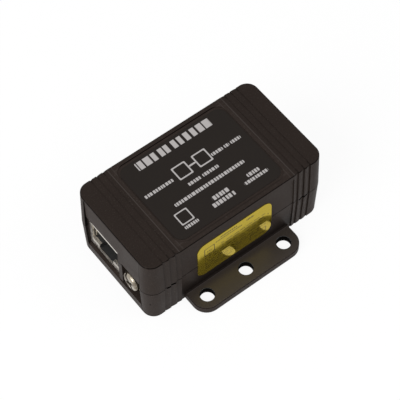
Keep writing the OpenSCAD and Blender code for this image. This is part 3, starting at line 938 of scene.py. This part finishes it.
@dataclass(frozen=True)
class TubeFinish(Finish):
    """A gas tube: glazed ceramic between metal electrodes, with lengths in metres."""

    name: str
    ceramic: Colour
    metal: Colour
    middle: float
    half_length: float
    rim: float = 0.9 * MM
    soft: float = 0.02 * MM
    grain: float = 2600.0
    depth: float = 0.004 * MM
    cloud_share: float = 0.9
    gloss_limits: Limits = (0.3, 0.36)

    def dress(self, graph: Graph, shader: bpy.types.Node) -> None:
        """Metal at both ends and in the middle band.

        Args:
            graph: the material's tree.
            shader: its shader node.
        """
        place = graph.place()
        along = graph.math("SUBTRACT", graph.split(place)[0], self.middle)
        along = graph.math("ABSOLUTE", along)
        start = self.half_length - self.rim
        end = graph.ramp(along, start - self.soft, start)
        band = graph.ramp(along, self.rim / 2, self.rim / 2 + self.soft, 1.0, 0.0)
        metal = graph.any(end, band)
        grain = graph.use(MouldGrain, Position=place, Scale=self.grain)
        glaze = graph.blend(grain["Cloud"], scaled(self.ceramic, self.cloud_share), self.ceramic)
        graph.wire(
            shader,
            Base_Color=graph.blend(metal, glaze, self.metal),
            Metallic=metal,
            Roughness=graph.ramp(metal, 0.0, 1.0, *self.gloss_limits),
            Normal=graph.bump(grain["Height"], self.depth),
        )


@dataclass(frozen=True)
class PackageFinish(Finish):
    """A moulded chip or diode with tinned leads and a plain pale band, with lengths in metres."""

    name: str
    middle: Point
    half_length: float
    band: float
    body: Colour = (0.012, 0.012, 0.0125)
    ink: Colour = (0.45, 0.45, 0.44)
    tin: Colour = (0.6, 0.59, 0.56)
    soft: float = 0.03 * MM
    band_inset: float = 0.3 * MM
    grain: float = 5200.0
    depth: float = 0.008 * MM
    fleck_share: float = 1.6
    top_limits: Limits = (0.8, 0.9)
    gloss_limits: Limits = (0.55, 0.34)

    def dress(self, graph: Graph, shader: bpy.types.Node) -> None:
        """Tin beyond the body's ends, and a pale band on its top.

        Args:
            graph: the material's tree.
            shader: its shader node.
        """
        place = graph.place()
        offset = graph.math("SUBTRACT", graph.split(place)[0], self.middle[0])
        away = graph.math("ABSOLUTE", offset)
        tin = graph.ramp(away, self.half_length, self.half_length + self.soft)
        start = self.half_length - self.band - self.band_inset
        band = graph.band(offset, start, start + self.band)
        top = graph.ramp(graph.split(graph.normal())[2], *self.top_limits)
        grain = graph.use(MouldGrain, Position=place, Scale=self.grain)
        epoxy = graph.blend(grain["Flecks"], self.body, scaled(self.body, self.fleck_share))
        printed = graph.blend(graph.all(band, top), epoxy, self.ink)
        graph.wire(
            shader,
            Base_Color=graph.blend(tin, printed, self.tin),
            Metallic=tin,
            Roughness=graph.ramp(tin, 0.0, 1.0, *self.gloss_limits),
            Normal=graph.bump(grain["Height"], self.depth),
        )


SHELL = ShellPlastic(
    "shell_plastic", (0.0352, 0.0263, 0.0224), (0.054, 0.044, 0.038), 0.42, ior=1.12
)
JACK_PLASTIC = MouldedPlastic(
    "jack_plastic", (0.008, 0.008, 0.0085), (0.03, 0.03, 0.032), 0.4, 5200.0, 0.006
)
CARRIER_PLASTIC = MouldedPlastic(
    "carrier_plastic", (0.02, 0.02, 0.022), (0.05, 0.05, 0.055), 0.45, 5200.0, 0.006
)
ACROSS = (9000.0, 2500.0, 2500.0)
UPWARDS = (12000.0, 12000.0, 900.0)
SHIELD_METAL = PlatedMetal("nickel_sheet", (0.78, 0.74, 0.68), (0.62, 0.58, 0.52), 0.4)
# The screw's second colour is its tarnish, which also colours the painted dark reflections on its
# head.
SCREW_METAL = ScrewMetal(
    "nickel_screw", (0.52, 0.47, 0.39), (0.13, 0.105, 0.075), 0.26, ACROSS
)
WASHER_METAL = PlatedMetal("nickel_washer", (0.58, 0.54, 0.46), (0.34, 0.3, 0.24), 0.32, ACROSS)
SPRING_METAL = PlatedMetal("spring_strip", (0.82, 0.76, 0.66), (0.66, 0.6, 0.5), 0.22)
BRACKET_METAL = PlatedMetal("tinned_strip", (0.62, 0.60, 0.56), (0.5, 0.48, 0.44), 0.36, UPWARDS)
CONTACT_METAL = PlatedMetal("gilt_wire", (0.78, 0.56, 0.22), (0.66, 0.46, 0.17), 0.26)
BOARD = BoardFinish("solder_mask", (0.008, 0.075, 0.035), (0.014, 0.12, 0.055), (0.32, 0.27, 0.14))

TOP_MARKS = (
    Mark(-0.1, 11.1, 23.6, 2.6, pitch=2.1), Mark(-3.3, 3.3, 4.3, 4.3, 0.4),
    Mark(3.1, 3.3, 4.3, 4.3, 0.4), Mark(-0.1, 3.3, 2.1, 0.5),
    Mark(-11.2, 2.5, 9.0, 0.95, pitch=0.8), Mark(7.3, 2.5, 3.6, 0.95, pitch=0.8),
    Mark(10.4, 2.5, 1.6, 0.95, pitch=0.8), Mark(13.3, 2.5, 3.2, 0.95, pitch=0.8),
    Mark(-2.7, -1.1, 4.2, 0.95, pitch=0.8), Mark(2.4, -1.1, 5.0, 0.95, pitch=0.8),
    Mark(-0.1, -4.0, 22.0, 1.0, pitch=0.85), Mark(-11.2, -7.9, 3.9, 3.9, 0.35),
    Mark(-11.0, -10.8, 4.2, 0.9, pitch=0.7), Mark(0.0, -8.2, 5.2, 1.25, pitch=1.0),
    Mark(-0.2, -10.0, 7.2, 1.25, pitch=1.0), Mark(10.6, -8.1, 3.8, 1.1, pitch=0.9),
    Mark(10.4, -9.7, 7.6, 0.95, pitch=0.8),
)
SIDE_MARKS = (
    Mark(-3.0, 19.2, 5.4, 0.6, pitch=0.6), Mark(-3.0, 18.2, 8.6, 0.5, pitch=0.5),
    Mark(3.9, 18.9, 2.4, 0.8, pitch=0.6), Mark(-9.2, 16.4, 3.4, 3.4, 0.3),
    Mark(-9.2, 16.4, 1.8, 0.5, pitch=0.5), Mark(1.6, 16.3, 14.4, 0.3, pitch=2.3),
    Mark(2.4, 15.3, 15.4, 0.3, pitch=2.7), Mark(-0.9, 13.9, 19.8, 0.3, pitch=2.1),
    Mark(-1.5, 12.9, 18.6, 0.3, pitch=2.9), Mark(-0.9, 11.5, 20.0, 0.3, pitch=2.5),
    Mark(-2.0, 10.5, 17.6, 0.3, pitch=2.2), Mark(-4.4, 9.4, 12.6, 0.3, pitch=2.6),
    Mark(-5.0, 8.4, 11.4, 0.3, pitch=2.3), Mark(6.6, 8.9, 5.4, 2.2, 0.25),
)
TOP_FILM = PrintedFilm(
    name="top_label_film",
    colour=(0.0172, 0.0132, 0.0108),
    ink=(0.60, 0.57, 0.56),
    roughness=0.4,
    marks=TOP_MARKS,
    facing=Facing.TOP,
    strength=0.82,
    ior=1.2,
)
SIDE_FILM = PrintedFilm(
    name="side_label_film",
    colour=(0.45, 0.345, 0.024),
    ink=(0.05, 0.04, 0.02),
    roughness=0.09,
    marks=SIDE_MARKS,
    facing=Facing.SIDE,
    strength=0.8,
    metallic=0.8,
    tint=(1.0, 0.9, 0.64),
)


class Assembly:
    """A group of CAD nodes that are dressed together."""

    title = "assembly"

    def wear(self, finish: Finish, *names: str) -> None:
        """Gives CAD nodes a finish.

        Args:
            finish: the finish.
            names: the nodes' names.
        """
        for name in names:
            finish.put_on(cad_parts[name])
            log.info("%s: %s wears %s", self.title, name, finish.name)

    def build(self) -> None:
        """Makes and dresses the group's pieces."""
        raise NotImplementedError


class Housing(Assembly):
    """The two halves of the box and the labels on it."""

    title = "housing"

    def build(self) -> None:
        """Dresses the halves and both labels."""
        self.wear(SHELL, "upper_housing", "lower_housing")
        self.wear(TOP_FILM, "top_label")
        self.wear(SIDE_FILM, "side_label")


@dataclass
class SpringContacts:
    """The sprung fingers at both sides of a jack's opening, which press on the plug's shield.

    They are drawn with the jack's face at the origin and its depth along +X, in millimetres:
    the path of a finger in depth and distance inward, and the low and high edges of fingers.
    """

    opening_half: float = 5.85
    thickness: float = 0.2
    path: tuple[Limits, ...] = (
        (0.35, 0.0), (0.9, 0.02), (1.6, 0.28), (2.4, 0.6), (3.1, 0.66), (4.0, 0.5), (5.6, 0.1)
    )
    heights: tuple[Limits, ...] = ((3.4, 5.9), (6.5, 9.0))
    edge_round: float = 0.05
    level: float = 1e-6

    def make(self, name: str, placed: Matrix) -> bpy.types.Object:
        """Makes the fingers of one jack as one piece.

        Args:
            name: the piece's name.
            placed: from the jack's own frame to the part's, in millimetres.

        Returns:
            The piece, in metres in the part's frame.
        """
        shape = bmesh.new()
        for side in (-1, 1):
            for low, high in self.heights:
                self.finger(shape, side, low, high)
        bmesh.ops.transform(shape, matrix=Matrix.Scale(MM, 4) @ placed, verts=shape.verts)
        bmesh.ops.recalc_face_normals(shape, faces=shape.faces)
        return add_shape(name, shape)

    def finger(self, shape: bmesh.types.BMesh, side: int, low: float, high: float) -> None:
        """Adds one finger: its bent outline, drawn up from its low edge to its high one.

        Args:
            shape: the shape that the finger joins.
            side: -1 or 1, for the side of the opening.
            low: the height of its low edge.
            high: the height of its high edge.
        """
        outer = [(x, side * (self.opening_half - inward)) for x, inward in self.path]
        inner = [(x, y - side * self.thickness) for x, y in reversed(outer)]
        face = shape.faces.new([shape.verts.new((x, y, low)) for x, y in outer + inner])
        made = bmesh.ops.extrude_face_region(shape, geom=[face])
        raised = [item for item in made["geom"] if isinstance(item, bmesh.types.BMVert)]
        bmesh.ops.translate(shape, verts=raised, vec=(0.0, 0.0, high - low))
        corners = [*raised, *face.verts]
        rims = [
            edge
            for edge in shape.edges
            if all(vert in corners for vert in edge.verts)
            and abs(edge.verts[0].co.z - edge.verts[1].co.z) < self.level
        ]
        bmesh.ops.bevel(
            shape, geom=rims, offset=self.edge_round, segments=2, profile=0.5,
            affect="EDGES", material=-1,
        )


@dataclass
class Jack(Assembly):
    """One shielded jack: its shield, body, contact carrier, contacts and spring fingers.

    The turn is in degrees, and the middle of the face's lower edge is in millimetres.
    """

    letter: str
    turn: float = 0.0
    face: Point = (-27.275, 4.875, 3.8)
    title: str = "jack"

    def build(self) -> None:
        """Adds the jack's spring fingers and dresses its four nodes."""
        x, y, z = self.face
        placed = Matrix.Translation((-x if self.turn else x, y, z))
        placed = placed @ Matrix.Rotation(math.radians(self.turn), 4, "Z")
        stem = f"jack_{self.letter}"
        springs = SpringContacts().make(f"{stem}_springs", placed)
        SPRING_METAL.put_on(springs)
        log.info("%s: %s wears %s", self.title, springs.name, SPRING_METAL.name)
        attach(springs, "housing")
        self.wear(SHIELD_METAL, f"{stem}_shield")
        self.wear(JACK_PLASTIC, f"{stem}_body")
        self.wear(CARRIER_PLASTIC, f"{stem}_carrier")
        self.wear(CONTACT_METAL, f"{stem}_contacts")


class EarthTerminal(Assembly):
    """The earth screw, its clamping washer and the bracket behind them."""

    title = "earth terminal"

    def build(self) -> None:
        """Dresses the screw, the washer and the bracket."""
        self.wear(SCREW_METAL, "earth_screw")
        self.wear(WASHER_METAL, "clamp_washer")
        self.wear(BRACKET_METAL, "earth_bracket")


@dataclass
class BoardParts(Assembly):
    """The circuit board and what is soldered to it between the jacks, with lengths in metres."""

    rows: int = 4
    array_half: float = 1.95 * MM
    array_band: float = 0.35 * MM
    clamp_half: float = 2.3 * MM
    clamp_band: float = 0.6 * MM
    ceramic: Colour = (0.72, 0.70, 0.66)
    electrode: Colour = (0.58, 0.56, 0.52)
    title: str = "board"

    def tube(self, node: str) -> None:
        """Dresses one gas tube, from where its node lies.

        Args:
            node: the node's name.
        """
        low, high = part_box(node)
        middle, half_length = (low.x + high.x) / 2, (high.x - low.x) / 2
        name = f"{node}_ceramic"
        self.wear(TubeFinish(name, self.ceramic, self.electrode, middle, half_length), node)

    def package(self, node: str, half_length: float, band: float) -> None:
        """Dresses one moulded package, from where its node lies.

        Args:
            node: the node's name.
            half_length: half the length of its body.
            band: the width of its printed band.
        """
        low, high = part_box(node)
        middle = tuple((low + high) / 2)
        self.wear(PackageFinish(f"{node}_epoxy", middle, half_length, band), node)

    def build(self) -> None:
        """Dresses the board, the tubes, the arrays and the supply clamp."""
        self.wear(BOARD, "circuit_board")
        for row in range(1, self.rows + 1):
            self.tube(f"gas_tube_{row}")
            self.package(f"diode_array_{row}", self.array_half, self.array_band)
        self.package("supply_clamp", self.clamp_half, self.clamp_band)


@dataclass(frozen=True)
class Lamp:
    """A square soft lamp: its name, its place and side in metres, and its power in watts."""

    name: str
    place: Point
    side: float
    power: float

    def hang(self) -> None:
        """Adds the lamp to the scene, turned to the object."""
        data = bpy.data.lights.new(self.name, "AREA")
        data.shape = "SQUARE"
        data.size = self.side
        data.energy = self.power
        lamp = add_object(self.name, data)
        lamp.location = self.place
        lamp.rotation_mode = "QUATERNION"
        lamp.rotation_quaternion = (-Vector(self.place)).to_track_quat("-Z", "Y")


@dataclass
class Studio:
    """The pale floor, the soft light and the camera.

    The floor's height under the base and its opening are in millimetres, the eye in metres.
    """

    floor_drop: float = 0.05
    opening: tuple[Limits, ...] = (
        (27.8, -12.8), (27.8, 12.8), (25.2, 15.4), (-25.2, 15.4),
        (-27.8, 12.8), (-27.8, -12.8), (-25.2, -15.4), (25.2, -15.4),
    )
    spread: float = 200.0
    floor_colour: Colour = (0.9, 0.9, 0.9)
    glow: float = 1.03
    glow_share: float = 0.88
    sky_limits: Limits = (0.5, 1.0)
    lamps: tuple[Lamp, ...] = (
        Lamp("key_lamp", (-0.6, -0.1, 0.5), 0.5, 3.4),
        Lamp("fill_lamp", (0.45, -0.4, 0.5), 0.5, 1.0),
    )
    lens: float = 140.94
    sensor: float = 36.0
    clip: Limits = (0.01, 20.0)
    eye: Point = (-0.13098, -0.17477, 0.35678)
    right: Point = (0.79181, -0.61070, -0.00941)
    up: Point = (0.52000, 0.66598, 0.53486)
    forward: Point = (0.32037, 0.42840, -0.84489)

    def floor(self) -> None:
        """A wide pale floor that keeps the object's shadow, open under the base to light it."""
        shape = bmesh.new()
        rim = [shape.verts.new(mm(x, y, -self.floor_drop)) for x, y in self.opening]
        hole = shape.faces.new(rim)
        made = bmesh.ops.extrude_edge_only(shape, edges=list(hole.edges))["geom"]
        outer = [item for item in made if isinstance(item, bmesh.types.BMVert)]
        bmesh.ops.scale(shape, vec=(self.spread, self.spread, 1.0), verts=outer)
        bmesh.ops.delete(shape, geom=[hole], context="FACES_ONLY")
        shape.normal_update()
        if sum(face.normal.z for face in shape.faces) < 0.0:
            bmesh.ops.reverse_faces(shape, faces=shape.faces)
        floor = add_shape("studio_floor", shape)
        floor.data.materials.append(self.floor_material())

    def seen(self, graph: Graph) -> Socket:
        """1 for the rays that show the background: camera, glossy and transmission rays."""
        path = graph.node("ShaderNodeLightPath").outputs
        return graph.any(*(path[f"Is {kind} Ray"] for kind in ("Camera", "Glossy", "Transmission")))

    def floor_material(self) -> bpy.types.Material:
        """White where it is seen, less the shadow, and clear from below.

        Returns:
            The floor's material.
        """
        made = bpy.data.materials.new("studio_white")
        made.use_nodes = True
        nodes = made.node_tree.nodes
        nodes.remove(nodes["Principled BSDF"])
        graph = Graph(made.node_tree)
        matt = graph.node("ShaderNodeBsdfDiffuse", opaque(self.floor_colour)).outputs[0]
        glow = graph.node("ShaderNodeEmission", opaque(WHITE), self.glow).outputs[0]
        share = graph.all(self.seen(graph), self.glow_share)
        lit = graph.node("ShaderNodeMixShader", share, matt, glow).outputs[0]
        behind = graph.node("ShaderNodeNewGeometry").outputs["Backfacing"]
        clear = graph.node("ShaderNodeBsdfTransparent").outputs[0]
        sided = graph.node("ShaderNodeMixShader", behind, lit, clear).outputs[0]
        graph.wire(nodes["Material Output"], Surface=sided)
        return made

    def sky(self) -> None:
        """A soft even sky, white where the camera sees it."""
        world = bpy.data.worlds.new("studio_sky")
        world.use_nodes = True
        graph = Graph(world.node_tree)
        strength = graph.ramp(self.seen(graph), 0.0, 1.0, *self.sky_limits)
        background = world.node_tree.nodes["Background"]
        graph.wire(background, Color=opaque(WHITE), Strength=strength)
        bpy.context.scene.world = world

    def camera(self) -> None:
        """The camera, at the place that the photograph's edges give."""
        data = bpy.data.cameras.new("studio_camera")
        data.lens = self.lens
        data.sensor_width = self.sensor
        data.clip_start, data.clip_end = self.clip
        camera = add_object("studio_camera", data)
        turned = Matrix((self.right, self.up, tuple(-part for part in self.forward))).transposed()
        camera.rotation_mode = "QUATERNION"
        camera.rotation_quaternion = turned.to_quaternion()
        camera.location = self.eye
        bpy.context.scene.camera = camera

    def build(self) -> None:
        """Sets the view, the camera, the floor, the sky and the lamps."""
        bpy.context.scene.view_settings.view_transform = "Standard"
        self.camera()
        self.floor()
        self.sky()
        for lamp in self.lamps:
            lamp.hang()
        log.info("studio: camera, floor, sky and lamps are in place")


def main() -> None:
    """Builds the studio and dresses the object."""
    Studio().build()
    for assembly in (Housing(), Jack("a"), Jack("b", 180.0), EarthTerminal(), BoardParts()):
        assembly.build()


if __name__ == "__main__":
    main()
